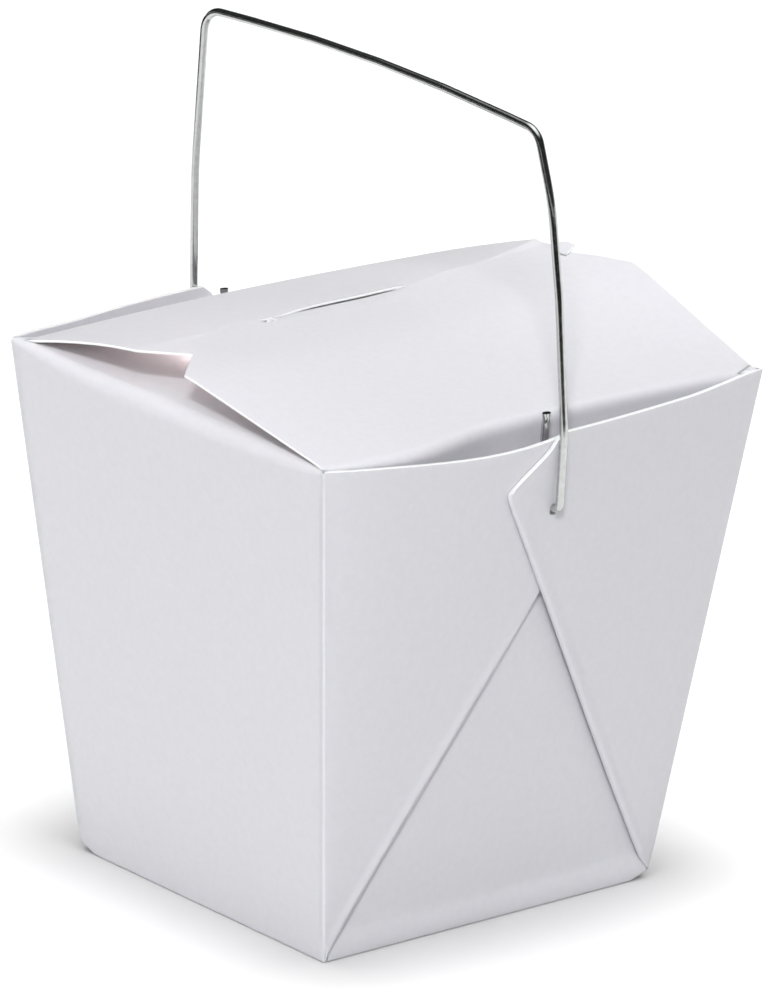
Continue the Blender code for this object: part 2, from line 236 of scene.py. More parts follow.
def panel_points(end, level, inset):
    """A level line across an end panel, flat at the top and following the webs lower down."""
    z = wall_z(level, HEIGHT - PANEL_DROP)
    reach = edge_y(z, inset)
    settled = web_share(reach - web_edge(end, z)) * ease(z / PANEL_FOOT)
    hug_height, hug_fade = HUG_RISE
    hug = end["hug"] * ease((z - hug_height) / hug_fade)
    points = []
    for share in PANEL_SHARES:
        y = share * reach
        hugs = hug * (1 - ease((y - HUG_FROM) / HUG_FADE))
        pressed = max(1 - ease((z - PRESSED_FROM) / PRESSED_FADE), hugs)
        out = end_x(end, y, z, inset) - half_x(z) + inset
        points.append(Vector((half_x(z) - inset + out * pressed - PANEL_BEHIND * settled, y, z)))
    return points


SIDE_BEND_END, SIDE_BEND_MIDDLE, SIDE_BEND_POWER = 0.0006, 0.0029, 0.6
SIDE_BEND_RISE = 1.13               # height that the fold takes, in its own radii


def side_bend(share):
    """Radius of the soft fold along the top of a plain side."""
    return lerp(SIDE_BEND_END, SIDE_BEND_MIDDLE, (1 - share ** 2) ** SIDE_BEND_POWER)


def side_top(share):
    peak = PEAK * (1 - ease((1 - share) * TOP_HALF_X / PEAK_REACH))
    return HEIGHT + peak - side_bend(share) * SIDE_BEND_RISE


def bend_points(level, inset, first):
    """The rounded upright corner beside a web; first is the one that leads on to the side."""
    web_top = HEIGHT + PEAK if first else HEIGHT
    plain_top = side_top(1.0 if first else -1.0)
    points = []
    for share in spread(0, 1, BEND_COLUMNS + 2)[1:-1]:
        turned = share if first else 1 - share
        z = wall_z(level, lerp(web_top, plain_top, ease(turned)))
        bend = corner_bend(z)
        a = math.radians(90 * turned)
        x = half_x(z) - inset - bend * (1 - math.cos(a))
        y = half_y(z) - inset - bend * (1 - math.sin(a))
        points.append(Vector((x if first else -x, y, z)))
    return points


def side_points(level, inset):
    """A level line along a plain side."""
    points = []
    for share in spread(1, -1, SIDE_COLUMNS):
        z = wall_z(level, side_top(share))
        x = share * (half_x(z) - inset - corner_bend(z))
        points.append(Vector((x, half_y(z) - inset, z)))
    return points


def half_ring(first, second, level, inset):
    """Half of a level line round the carton, from one end panel to the far end's lapped web."""
    points = panel_points(first, level, inset)
    points += web_points(first, True, level, inset)
    points += bend_points(level, inset, True)
    points += side_points(level, inset)
    points += bend_points(level, inset, False)
    points += [Vector((-p.x, -p.y, p.z)) for p in reversed(web_points(second, False, level, inset))]
    return points


def ring(level, inset):
    near, far = ENDS["near"], ENDS["far"]
    other = half_ring(far, near, level, inset)
    return half_ring(near, far, level, inset) + [Vector((-p.x, -p.y, p.z)) for p in other]


WEB_COLUMNS = INNER_COLUMNS + FOLD_COLUMNS + OUTER_COLUMNS
HALF_RING = PANEL_COLUMNS + 2 * WEB_COLUMNS + 2 * BEND_COLUMNS + SIDE_COLUMNS


def fold_columns():
    """Column numbers, within a half ring, of the faces that make up the two webs' folds."""
    lapping = PANEL_COLUMNS + INNER_COLUMNS - 1
    lapped = HALF_RING - INNER_COLUMNS - FOLD_COLUMNS - 1
    return {first + i for first in (lapping, lapped) for i in range(FOLD_COLUMNS + 1)}


FOOT_ROW, FOOT_ROWS, MIDDLE_ROWS, POINT_ROWS = 0.0006, 13, 39, 5
POINT_ZONE = 0.0024                 # the closer rows just below the webs' points
UPPER_LEVELS = (1.05, 1.1, 1.16, 1.24, 1.34, 1.46, 1.58, 1.7, 1.8, 1.88, 1.94, 2.0)


def wall_levels():
    """Rows of the walls: close together at the foot, at the webs' points and at the rim."""
    foot = [BASE_BEND + FOOT_ROW * i for i in range(1, FOOT_ROWS + 1)]
    middle = spread(foot[-1], FOLD_TOP.y - POINT_ZONE, MIDDLE_ROWS + 1)[1:]
    near_point = spread(middle[-1], FOLD_TOP.y, POINT_ROWS + 1)[1:]
    return [z / FOLD_TOP.y for z in foot + middle + near_point] + list(UPPER_LEVELS)


def foot_lift(p):
    """How far a point near the foot of a lapping web's corner is turned up."""
    if p.x * p.y < 0:
        return 0.0
    away = max(0.0, BASE_HALF_X - abs(p.x)) + max(0.0, BASE_HALF_Y - abs(p.y))
    return FOOT_LIFT * (1 - ease(away / FOOT_REACH)) * (1 - ease(p.z / FOOT_FADE))


BASE_INSETS = (0.012, 0.005)


def make_walls(bm):
    """Walls and base; returns the top row, from which the flaps go on."""
    rows = [ring(0.0, inset) for inset in BASE_INSETS]
    for angle in spread(90, 0, 7):
        a = math.radians(angle)
        z = BASE_BEND * (1 - math.sin(a))
        rows.append(ring(z / FOLD_TOP.y, BASE_BEND * (1 - math.cos(a))))
    rows += [ring(level, 0.0) for level in wall_levels()]
    grid = [[bm.verts.new((p.x, p.y, p.z + foot_lift(p))) for p in row] for row in rows]
    count = len(grid[0])
    points_row = len(grid) - len(UPPER_LEVELS) - 1   # above it the webs are cut, with no fold
    folds = fold_columns()
    bm.faces.new(list(reversed(grid[0])))
    for r, (lower, upper) in enumerate(zip(grid, grid[1:])):
        for i in range(count):
            if r >= points_row and i % HALF_RING in folds:
                continue
            k = (i + 1) % count
            bm.faces.new((lower[i], lower[k], upper[k], upper[i]))
    return grid[-1]


# Tucked side flap: goes on from the plain side round its soft fold and slopes down under the lid.
SIDE_FLAP_SLOPE = math.radians(7)
SIDE_LEAN = math.atan((TOP_HALF_Y - BASE_HALF_Y) / HEIGHT)
SIDE_FLAP_DEPTH, SIDE_FLAP_TAPER = 0.030, 0.25
SIDE_BEND_ROWS, SIDE_FLAP_ROWS = 12, 15


def make_side_flap(bm, top_row, half):
    """half is 0 for the +Y side and 1 for the -Y one."""
    turn = -1 if half else 1
    first = half * HALF_RING + PANEL_COLUMNS + WEB_COLUMNS + BEND_COLUMNS
    edge = top_row[first:first + SIDE_COLUMNS]
    rows = [edge]
    runs = spread(0, SIDE_FLAP_DEPTH, SIDE_FLAP_ROWS + 1)
    for step in range(1, SIDE_BEND_ROWS + SIDE_FLAP_ROWS + 1):
        row = []
        for share, start in zip(spread(1, -1, SIDE_COLUMNS), edge):
            bend = side_bend(share)
            centre_y = turn * start.co.y - bend * math.cos(SIDE_LEAN)
            centre_z = start.co.z + bend * math.sin(SIDE_LEAN)
            folded = min(step, SIDE_BEND_ROWS) / SIDE_BEND_ROWS
            angle = lerp(-SIDE_LEAN, math.pi / 2 + SIDE_FLAP_SLOPE, folded)
            y = centre_y + bend * math.cos(angle)
            z = centre_z + bend * math.sin(angle)
            x = start.co.x
            if step > SIDE_BEND_ROWS:
                run = runs[step - SIDE_BEND_ROWS]
                y -= run * math.cos(SIDE_FLAP_SLOPE)
                z -= run * math.sin(SIDE_FLAP_SLOPE)
                x -= turn * share * run * SIDE_FLAP_TAPER
            row.append(bm.verts.new((x, turn * y, z)))
        rows.append(row)
    for lower, upper in zip(rows, rows[1:]):
        for i in range(SIDE_COLUMNS - 1):
            bm.faces.new((lower[i], lower[i + 1], upper[i + 1], upper[i]))


# Big lid flaps: each goes on from an end panel over its score. The near one lies on top and tucks
# its tab into the slit of the far one. The lid springs up towards the +Y side.
LID_RISE, LID_LIFT = 0.0070, 0.0050
LIFT_START, LIFT_SPAN, LIFT_POWER = 0.005, 0.046, 1.8
ROLL_EDGE, ROLL_MIDDLE, ROLL_REACH = 0.0004, 0.0016, 0.0020
ROLL_START, ROLL_SQUARE = 0.0005, 2.6
WIDEN_RUN = 0.004                    # a flap reaches its full width this far from its score
FLAP_ROWS = 34

NEAR_CLIMB, LEVEL_OFF = (0.0424, 0.0369), 0.15
NEAR_TAPER = 0.0003
NEAR_EDGE = (                        # y and x along its free end
    (-0.0540, 0.0035), (-0.0430, -0.0067), (-0.0380, -0.0120), (-0.0280, -0.0157),
    (-0.0190, -0.0148), (0.0190, -0.0148), (0.0280, -0.0157), (0.0390, -0.0128),
    (0.0466, -0.0108), (0.0493, -0.0030), (0.0540, 0.0085),
)
TUCK_X, TUCK_SPAN, TUCK_DROP = -0.0128, 0.0022, 0.0003   # it dips before its tab goes in
TUCK_SIDE = (TAB_HALF - 0.002, 0.004)
# The tab curves down as it goes into the slit.
TAB_RUN = (0.0002, 0.0004, 0.0006, 0.0009, 0.0013, 0.0020, 0.0040, 0.0070)
TAB_DROP = (0.00008, 0.00022, 0.00042, 0.00070, 0.00092, 0.00110, 0.00125, 0.0013)
NOTCH_DEPTH = 0.0024                 # relief cut at the -Y end of the tab

FAR_CLIMB, FAR_BEND, FAR_STRAIGHT_Y = (0.0330, 0.0300), (1.5, 1.0), 0.050
FAR_LENGTH, FAR_DROP = 0.052, 0.0001
# x and half-width along its two sides; the right one ends in a free ear.
FAR_SIDE_LEFT = ((-0.0461, 0.0528), (-0.0146, 0.0497), (-0.0070, 0.0424), (0.0060, 0.0330))
FAR_SIDE_RIGHT = (
    (-0.0461, 0.0528), (-0.0146, 0.0497), (-0.0080, 0.0502), (-0.0042, 0.0500),
    (-0.0030, 0.0460), (0.0060, 0.0330),
)
LAID_ON = 0.0002                     # clearance between the lower flap and the one on it
EAR_LIFT = 0.0018                    # the ear curls up past the top flap
EAR_Y, EAR_X = (0.0450, 0.0050), (-0.0120, 0.0060)   # where the curl starts, and over how much
EAR_ROWS = (-0.0042, -0.0030)

SLIT_LIP, SLIT_FOOT = -0.0159, -0.0148   # the slit's two sides
SLIT_ROWS = (-0.0164, SLIT_LIP, SLIT_FOOT, SLIT_FOOT + NOTCH_DEPTH)
SLIT_HALF, SLIT_MIDDLE, SLIT_OPEN = 0.0182, 0.0032, 0.0160
LIP_LIFT, LIP_FADE = 0.0007, 0.004   # how far the tab pushes the slit's lip up
PUNCHED = (-0.0200, -0.0164)         # where the slit's end is punched wider, seen past the notch
ROW_MARGIN = 0.0001                  # picks rows and columns that lie on a cut


def stepped(stops, at):
    for (a, value_a), (b, value_b) in zip(stops, stops[1:]):
        if at <= b:
            return lerp(value_a, value_b, clamp((at - a) / (b - a)))
    return stops[-1][1]


def free_rise(y):
    return LID_RISE + LID_LIFT * max(0.0, (y - LIFT_START) / LIFT_SPAN) ** LIFT_POWER


def rolled(run, y):
    """Height of the rounded fold above the score, a quarter of a squarish oval."""
    crown = lerp(ROLL_EDGE, ROLL_MIDDLE, clamp(1 - (y / TOP_HALF_Y) ** 2))
    round_off = (1 - (1 - clamp(run / ROLL_REACH)) ** ROLL_SQUARE) ** (1 / ROLL_SQUARE)
    return (crown + ROLL_START) * round_off - ROLL_START


def near_rise(run, y):
    climb = lerp(*NEAR_CLIMB, clamp((y / TOP_HALF_Y + 1) / 2))
    along = clamp(run / climb, 0.0, 1 + LEVEL_OFF)
    climbed = along - max(0.0, along - 1 + LEVEL_OFF) ** 2 / (4 * LEVEL_OFF)
    x = TOP_HALF_X - PANEL_BEHIND - run
    tuck_y, tuck_fade = TUCK_SIDE
    tucked = ease((TUCK_X - x) / TUCK_SPAN) * (1 - ease((abs(y) - tuck_y) / tuck_fade))
    return rolled(run, y) * (1 - climbed) + free_rise(y) * climbed - TUCK_DROP * tucked


def far_rise(run, y):
    along = clamp(run / lerp(*FAR_CLIMB, clamp((y / TOP_HALF_Y + 1) / 2)))
    bend = lerp(*FAR_BEND, clamp(y / FAR_STRAIGHT_Y))
    climbed = 1 - (1 - along) ** bend
    rise = rolled(run, y) * (1 - climbed) + (free_rise(y) - BOARD) * climbed
    x = run - TOP_HALF_X + PANEL_BEHIND
    lip = 0.0
    if x < SLIT_LIP + ROW_MARGIN:
        open_share = max(0.0, 1 - ((y - SLIT_MIDDLE) / SLIT_OPEN) ** 4)
        lip = LIP_LIFT * open_share * math.exp(-(SLIT_LIP - x) / LIP_FADE)
    ear = EAR_LIFT * ease((y - EAR_Y[0]) / EAR_Y[1]) * ease((x - EAR_X[0]) / EAR_X[1])
    if x > SLIT_FOOT:
        rise = min(rise, near_rise(TOP_HALF_X - PANEL_BEHIND - x, y) - BOARD - LAID_ON)
    return rise + lip + ear


def roll_runs(length):
    """Rows of a flap, close together over the rounded fold."""
    bends = [ROLL_REACH * (1 - math.cos(math.radians(a))) for a in spread(0, 90, 10)[1:]]
    return bends + spread(ROLL_REACH, length, FLAP_ROWS)[1:]


def make_near_flap(bm, top_row):
    edge = top_row[:PANEL_COLUMNS]
    rows = [edge]
    for step in range(len(roll_runs(TOP_HALF_X))):
        row = []
        for vert in edge:
            share = vert.co.y / edge[-1].co.y
            end_y = share * NEAR_SIDE + NEAR_SHIFT
            in_notch = TAB_CUTS[0] + ROW_MARGIN < -end_y < TAB_CUTS[-1] - ROW_MARGIN
            cut_back = NOTCH_DEPTH if in_notch else 0.0
            length = vert.co.x - stepped(NEAR_EDGE, share * TOP_HALF_Y) - cut_back
            run = roll_runs(length)[step]
            along = run / length
            width = lerp(edge[-1].co.y, NEAR_SIDE + NEAR_TAPER, ease(run / WIDEN_RUN))
            y = share * (width - NEAR_TAPER * along) + NEAR_SHIFT * along
            row.append(bm.verts.new((vert.co.x - run, y, HEIGHT + near_rise(run, y))))
        rows.append(row)
    for lower, upper in zip(rows, rows[1:]):
        for i in range(PANEL_COLUMNS - 1):
            bm.faces.new((lower[i], lower[i + 1], upper[i + 1], upper[i]))
    tab = [[v for v in rows[-1] if abs(v.co.y) < TAB_HALF + ROW_MARGIN]]
    for run, drop in zip(TAB_RUN, TAB_DROP):
        tab.append([bm.verts.new(v.co + Vector((-run, 0, -drop))) for v in tab[0]])
    for lower, upper in zip(tab, tab[1:]):
        for i in range(len(lower) - 1):
            bm.faces.new((lower[i], lower[i + 1], upper[i + 1], upper[i]))


def make_far_flap(bm, top_row):
    edge = top_row[HALF_RING:HALF_RING + PANEL_COLUMNS]
    start_x = edge[PANEL_COLUMNS // 2].co.x
    runs = roll_runs(FAR_LENGTH) + [x - start_x for x in SLIT_ROWS + EAR_ROWS]
    rows = [edge]
    for run in sorted(runs):
        x = start_x + run
        row = []
        for vert in edge:
            share = vert.co.y / abs(edge[0].co.y)
            outline = FAR_SIDE_RIGHT if share > 0 else FAR_SIDE_LEFT
            y = share * lerp(abs(edge[0].co.y), stepped(outline, x), ease(run / WIDEN_RUN))
            row.append(bm.verts.new((x, y, HEIGHT + far_rise(run, y) - FAR_DROP)))
        rows.append(row)
    for lower, upper in zip(rows, rows[1:]):
        past_lip = lower[0].co.x > SLIT_LIP - ROW_MARGIN
        in_slit = past_lip and upper[0].co.x < SLIT_FOOT + ROW_MARGIN
        in_punched = past_lip and upper[0].co.x < SLIT_FOOT + NOTCH_DEPTH + ROW_MARGIN
        for i in range(PANEL_COLUMNS - 1):
            y = (lower[i].co.y + lower[i + 1].co.y) / 2
            if in_slit and abs(y) < SLIT_HALF or in_punched and PUNCHED[0] < y < PUNCHED[1]:
                continue
            bm.faces.new((lower[i], lower[i + 1], upper[i + 1], upper[i]))


COATED_TONES = (0.650, 0.647, 0.680, 1), (0.672, 0.669, 0.702, 1)
INSIDE_TONES = (0.93, 0.89, 0.88, 1), (0.88, 0.84, 0.83, 1)
CUT_EDGE_TONES = (0.96, 0.95, 0.96, 1), (0.92, 0.91, 0.92, 1)
LIGHT_IN_BOARD = (1.0, 0.9, 0.88)    # how far red, green and blue light run in the board
COATED_RUN, RAW_RUN = 0.0006, 0.0009


def coated_board():
    """White clay-coated board: nearly smooth, with a faint mottle and a soft satin sheen."""
    material = bpy.data.materials.new("coated_board")
    material.use_nodes = True
    nodes, links = material.node_tree.nodes, material.node_tree.links
    shader = nodes["Principled BSDF"]
    place = nodes.new("ShaderNodeTexCoord")
    mottle = nodes.new("ShaderNodeTexNoise")
    mottle.inputs["Scale"].default_value = 700.0
    mottle.inputs["Detail"].default_value = 6.0
    links.new(place.outputs["Object"], mottle.inputs["Vector"])
    tint = nodes.new("ShaderNodeValToRGB")
    tint.color_ramp.elements[0].position, tint.color_ramp.elements[1].position = 0.3, 0.7
    tint.color_ramp.elements[0].color, tint.color_ramp.elements[1].color = COATED_TONES
    links.new(mottle.outputs["Fac"], tint.inputs["Fac"])
    links.new(tint.outputs["Color"], shader.inputs["Base Color"])
    shader.inputs["Roughness"].default_value = 0.55
    shader.inputs["Specular IOR Level"].default_value = 0.3
    shader.inputs["Subsurface Weight"].default_value = 1.0
    shader.inputs["Subsurface Radius"].default_value = LIGHT_IN_BOARD
    shader.inputs["Subsurface Scale"].default_value = COATED_RUN
    fibres = nodes.new("ShaderNodeTexNoise")
    fibres.inputs["Scale"].default_value = 2600.0
    fibres.inputs["Detail"].default_value = 3.0
    links.new(place.outputs["Object"], fibres.inputs["Vector"])
    bump = nodes.new("ShaderNodeBump")
    bump.inputs["Strength"].default_value = 0.12
    bump.inputs["Distance"].default_value = 0.00003
    links.new(fibres.outputs["Fac"], bump.inputs["Height"])
    links.new(bump.outputs["Normal"], shader.inputs["Normal"])
    return material


def raw_board(name, light, dark):
    """Bare board without its coating: matt, with short fibres."""
    material = bpy.data.materials.new(name)
    material.use_nodes = True
    nodes, links = material.node_tree.nodes, material.node_tree.links
    shader = nodes["Principled BSDF"]
    place = nodes.new("ShaderNodeTexCoord")
    fibres = nodes.new("ShaderNodeTexNoise")
    fibres.inputs["Scale"].default_value = 1500.0
    fibres.inputs["Detail"].default_value = 6.0
    links.new(place.outputs["Object"], fibres.inputs["Vector"])
    tint = nodes.new("ShaderNodeValToRGB")
    tint.color_ramp.elements[0].color = dark
    tint.color_ramp.elements[1].color = light
    links.new(fibres.outputs["Fac"], tint.inputs["Fac"])
    links.new(tint.outputs["Color"], shader.inputs["Base Color"])
    shader.inputs["Roughness"].default_value = 0.85
    shader.inputs["Specular IOR Level"].default_value = 0.2
    shader.inputs["Subsurface Weight"].default_value = 1.0
    shader.inputs["Subsurface Radius"].default_value = LIGHT_IN_BOARD
    shader.inputs["Subsurface Scale"].default_value = RAW_RUN
    bump = nodes.new("ShaderNodeBump")
    bump.inputs["Strength"].default_value = 0.3
    bump.inputs["Distance"].default_value = 0.00005
    links.new(fibres.outputs["Fac"], bump.inputs["Height"])
    links.new(bump.outputs["Normal"], shader.inputs["Normal"])
    return material


def fixed(obj):
    """Applies an object's modifiers."""
    view = bpy.context.evaluated_depsgraph_get()
    mesh = bpy.data.meshes.new_from_object(obj.evaluated_get(view))
    obj.modifiers.clear()
    obj.data = mesh
    return obj


HOLE_RADIUS, HOLE_DROP = 0.00110, Vector((0.0, 0.0004, -0.0006))
PUNCH_X, PUNCH_LENGTH = 0.050, 0.020
CUT_EDGE = 2                         # the cut edge's place among the board's materials


def punch_holes(board):
    """Cuts the two holes for the wire through the webs and the end panels."""
    for turn in (1, -1):
        bm = bmesh.new()
        bmesh.ops.create_cone(
            bm, cap_ends=True, segments=28, radius1=HOLE_RADIUS, radius2=HOLE_RADIUS,
            depth=PUNCH_LENGTH,
        )
        mesh = bpy.data.meshes.new("punch")
        bm.to_mesh(mesh)
        bm.free()
        for material in board.data.materials:
            mesh.materials.append(material)
        for face in mesh.polygons:
            face.material_index = CUT_EDGE
        punch = bpy.data.objects.new("punch", mesh)
        bpy.context.scene.collection.objects.link(punch)
        punch.rotation_euler.y = math.radians(90)
        punch.location = PIVOT + HOLE_DROP + Vector((turn * PUNCH_X, 0, 0))
        cut = board.modifiers.new("hole", "BOOLEAN")
        cut.operation, cut.solver, cut.object = "DIFFERENCE", "EXACT", punch
        fixed(board)
        bpy.data.objects.remove(punch)


WELD, THINNEST = 0.00002, 0.000002
SHARP_BOARD_ANGLE = math.radians(38)


def make_carton():
    bm = bmesh.new()
    top_row = make_walls(bm)
    make_side_flap(bm, top_row, 0)
    make_side_flap(bm, top_row, 1)
    make_near_flap(bm, top_row)
    make_far_flap(bm, top_row)
    bmesh.ops.remove_doubles(bm, verts=bm.verts, dist=WELD)
    bmesh.ops.dissolve_degenerate(bm, dist=THINNEST, edges=bm.edges)
    mesh = bpy.data.meshes.new("carton_board")
    bm.to_mesh(mesh)
    bm.free()
    mesh.materials.append(coated_board())
    mesh.materials.append(raw_board("board_inside", *INSIDE_TONES))
    mesh.materials.append(raw_board("board_cut_edge", *CUT_EDGE_TONES))
    obj = bpy.data.objects.new("carton_board", mesh)
    bpy.context.scene.collection.objects.link(obj)
    thick = obj.modifiers.new("board", "SOLIDIFY")
    thick.thickness = BOARD
    thick.offset = -1
    thick.material_offset = 1
    thick.material_offset_rim = CUT_EDGE
    fixed(obj)
    punch_holes(obj)
    obj.data.shade_smooth()
    obj.data.set_sharp_from_angle(angle=SHARP_BOARD_ANGLE)
    return obj


carton = make_carton()
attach(carton, "box")
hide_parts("carton")


# ------------------------------------------------------------------------------------------------
# Wire bail. Galvanised mild steel wire, bent to shape in one length: each end goes in through the
# hole that pins the lapped webs and turns up behind them, so the bail swings on the two holes.
# ------------------------------------------------------------------------------------------------
WIRE_RADIUS, WIRE_SIDES, LONGEST_STEP = 0.00078, 20, 0.0005
ZINC_TONES = (0.50, 0.51, 0.50, 1), (0.62, 0.63, 0.62, 1)
BAIL_LEAN = math.radians(3.2)
NEAR_TAIL_LEAN, FAR_TAIL_LEAN = math.radians(1.4), math.radians(-1.4)
# Corners of the route: x, distance from the swing axis, lean to -Y, radius of the bend.
BAIL_ROUTE = (
    (0.0474, 0.0178, NEAR_TAIL_LEAN, 0.0),
    (0.0461, 0.0000, NEAR_TAIL_LEAN, 0.0014),
    (0.0518, 0.0000, BAIL_LEAN, 0.0016),
    (0.0530, 0.0150, BAIL_LEAN, 0.030),
    (0.0514, 0.0410, BAIL_LEAN, 0.080),
    (0.0492, 0.0590, BAIL_LEAN, 0.045),
    (0.0451, 0.0723, BAIL_LEAN, 0.0040),
    (0.0000, 0.0755, BAIL_LEAN, 0.540),
    (-0.0509, 0.0721, BAIL_LEAN, 0.0055),
    (-0.0544, 0.0392, BAIL_LEAN, 0.120),
    (-0.0551, 0.0150, BAIL_LEAN, 0.050),
    (-0.0542, 0.0000, BAIL_LEAN, 0.0016),
    (-0.0462, 0.0000, FAR_TAIL_LEAN, 0.0014),
    (-0.0475, 0.0164, FAR_TAIL_LEAN, 0.0),
)


def bent_route(corners):
    """Points along straight runs joined by arcs; a corner is a place and its bend radius."""
    points = [corners[0][0]]
    for (before, _), (corner, radius), (after, _) in zip(corners, corners[1:], corners[2:]):
        back = (before - corner).normalized()
        ahead = (after - corner).normalized()
        turn = math.pi - back.angle(ahead)
        reach = radius * math.tan(turn / 2)
        centre = corner + (back + ahead).normalized() * radius / math.cos(turn / 2)
        start = corner + back * reach - centre
        steps = max(4, round(math.degrees(turn) / 6))
        axis = back.cross(ahead).normalized()
        for i in range(steps + 1):
            points.append(centre + Matrix.Rotation(-turn * i / steps, 3, axis) @ start)
    points.append(corners[-1][0])
    return points


def divided(points, longest):
    """The same line with no step longer than this."""
    fine = [points[0]]
    for a, b in zip(points, points[1:]):
        parts = max(1, math.ceil((b - a).length / longest))
        fine += [a.lerp(b, i / parts) for i in range(1, parts + 1)]
    return fine


def bail_corner(x, reach, lean, radius):
    return PIVOT + Vector((x, -reach * math.sin(lean), reach * math.cos(lean))), radius


def drawn_zinc():
    """Drawn wire with a thin zinc skin: grey, smooth to the touch, with dull patches."""
    material = bpy.data.materials.new("drawn_zinc")
    material.use_nodes = True
    nodes, links = material.node_tree.nodes, material.node_tree.links
    shader = nodes["Principled BSDF"]
    shader.inputs["Metallic"].default_value = 1.0
    place = nodes.new("ShaderNodeTexCoord")
    patches = nodes.new("ShaderNodeTexNoise")
    patches.inputs["Scale"].default_value = 900.0
    patches.inputs["Detail"].default_value = 6.0
    links.new(place.outputs["Object"], patches.inputs["Vector"])
    tint = nodes.new("ShaderNodeValToRGB")
    tint.color_ramp.elements[0].position, tint.color_ramp.elements[1].position = 0.3, 0.7
    tint.color_ramp.elements[0].color, tint.color_ramp.elements[1].color = ZINC_TONES
    links.new(patches.outputs["Fac"], tint.inputs["Fac"])
    links.new(tint.outputs["Color"], shader.inputs["Base Color"])
    dull = nodes.new("ShaderNodeMapRange")
    dull.inputs["To Min"].default_value = 0.10
    dull.inputs["To Max"].default_value = 0.22
    links.new(patches.outputs["Fac"], dull.inputs["Value"])
    links.new(dull.outputs["Result"], shader.inputs["Roughness"])
    bump = nodes.new("ShaderNodeBump")
    bump.inputs["Strength"].default_value = 0.08
    bump.inputs["Distance"].default_value = 0.00003
    links.new(patches.outputs["Fac"], bump.inputs["Height"])
    links.new(bump.outputs["Normal"], shader.inputs["Normal"])
    return material


# Where the cutter pinched the wire: distance from its end, how wide and how thick it is there.
PINCH = (
    (0.0, 1.22, 0.80), (0.0005, 1.18, 0.80), (0.0011, 0.80, 0.95), (0.0018, 1.02, 1.02),
    (0.0026, 1.0, 1.0),
)


def pinched(from_end):
    for (a, wide_a, thick_a), (b, wide_b, thick_b) in zip(PINCH, PINCH[1:]):
        if from_end <= b:
            t = (from_end - a) / (b - a)
            return lerp(wide_a, wide_b, t), lerp(thick_a, thick_b, t)
    return 1.0, 1.0


def make_bail():
    route = divided(bent_route([bail_corner(*corner) for corner in BAIL_ROUTE]), LONGEST_STEP)
    ends = route[0], route[-1]
    bm = bmesh.new()
    rings = []
    across = Vector((0, 1, 0))
    for i, point in enumerate(route):
        ahead = (route[min(i + 1, len(route) - 1)] - route[max(i - 1, 0)]).normalized()
        across = (across - ahead * across.dot(ahead)).normalized()
        over = ahead.cross(across)
        wide, thick = pinched(min((point - end).length for end in ends))
        loop = []
        for k in range(WIRE_SIDES):
            a = 2 * math.pi * k / WIRE_SIDES
            out = wide * math.cos(a) * across + thick * math.sin(a) * over
            loop.append(bm.verts.new(point + WIRE_RADIUS * out))
        rings.append(loop)
    for lower, upper in zip(rings, rings[1:]):
        for k in range(WIRE_SIDES):
            m = (k + 1) % WIRE_SIDES
            bm.faces.new((lower[k], lower[m], upper[m], upper[k]))
    bm.faces.new(list(reversed(rings[0])))
    bm.faces.new(rings[-1])
    mesh = bpy.data.meshes.new("bail_wire")
    bm.to_mesh(mesh)
    bm.free()
    mesh.materials.append(drawn_zinc())
    mesh.shade_smooth()
    mesh.set_sharp_from_angle(angle=math.radians(45))
    obj = bpy.data.objects.new("bail_wire", mesh)
    bpy.context.scene.collection.objects.link(obj)
    return obj


bail = make_bail()
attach(bail, "bail")
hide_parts("wire_handle")


# ------------------------------------------------------------------------------------------------
# Floor and backdrop. A plain white table, and just below it a greyer sheet that only throws light
# back up at the box. The plain white backdrop all round is seen by the camera alone.
# ------------------------------------------------------------------------------------------------
TABLE_REACH, TABLE_DROP, SHEET_DROP = 6.0, 0.00005, 0.0001
TABLE_TONE, SHEET_TONE, BACKDROP_TONE = (0.93,) * 3, (0.71,) * 3, (0.5,) * 3
BACKDROP_RADIUS, BACKDROP_HEIGHT = 5.9, 8.0


def plain_matt(name, colour, glow):
    """A plain matt surface with a barely uneven tone, which may glow."""
    material = bpy.data.materials.new(name)
    material.use_nodes = True
    nodes, links = material.node_tree.nodes, material.node_tree.links
    shader = nodes["Principled BSDF"]
    grain = nodes.new("ShaderNodeTexNoise")
    grain.inputs["Scale"].default_value = 30.0
    tint = nodes.new("ShaderNodeValToRGB")
    tint.color_ramp.elements[0].color = (*[c * 0.99 for c in colour], 1)
    tint.color_ramp.elements[1].color = (*colour, 1)
    links.new(grain.outputs["Fac"], tint.inputs["Fac"])
    links.new(tint.outputs["Color"], shader.inputs["Base Color"])
    shader.inputs["Roughness"].default_value = 0.9
    shader.inputs["Specular IOR Level"].default_value = 0.0
    shader.inputs["Emission Color"].default_value = (1, 1, 1, 1)
    shader.inputs["Emission Strength"].default_value = glow
    return material


def add_stage(name, bm, material):
    mesh = bpy.data.meshes.new(name)
    bm.to_mesh(mesh)
    bm.free()
    mesh.materials.append(material)
    obj = bpy.data.objects.new(name, mesh)
    bpy.context.scene.collection.objects.link(obj)
    return obj


def make_floor():
    bm = bmesh.new()
    bmesh.ops.create_grid(bm, x_segments=8, y_segments=8, size=TABLE_REACH)
    obj = add_stage("floor", bm, plain_matt("pale_floor", TABLE_TONE, 0.0))
    obj.location.z = -TABLE_DROP
    obj.visible_diffuse = False
    obj.visible_shadow = False
    return obj


def make_under_floor():
    """A slightly greyer sheet below the floor, which is what lights the box from beneath."""
    bm = bmesh.new()
    bmesh.ops.create_grid(bm, x_segments=8, y_segments=8, size=TABLE_REACH)
    obj = add_stage("under_floor", bm, plain_matt("grey_floor", SHEET_TONE, 0.0))
    obj.location.z = -SHEET_DROP
    obj.visible_camera = False
    obj.visible_glossy = False
    return obj


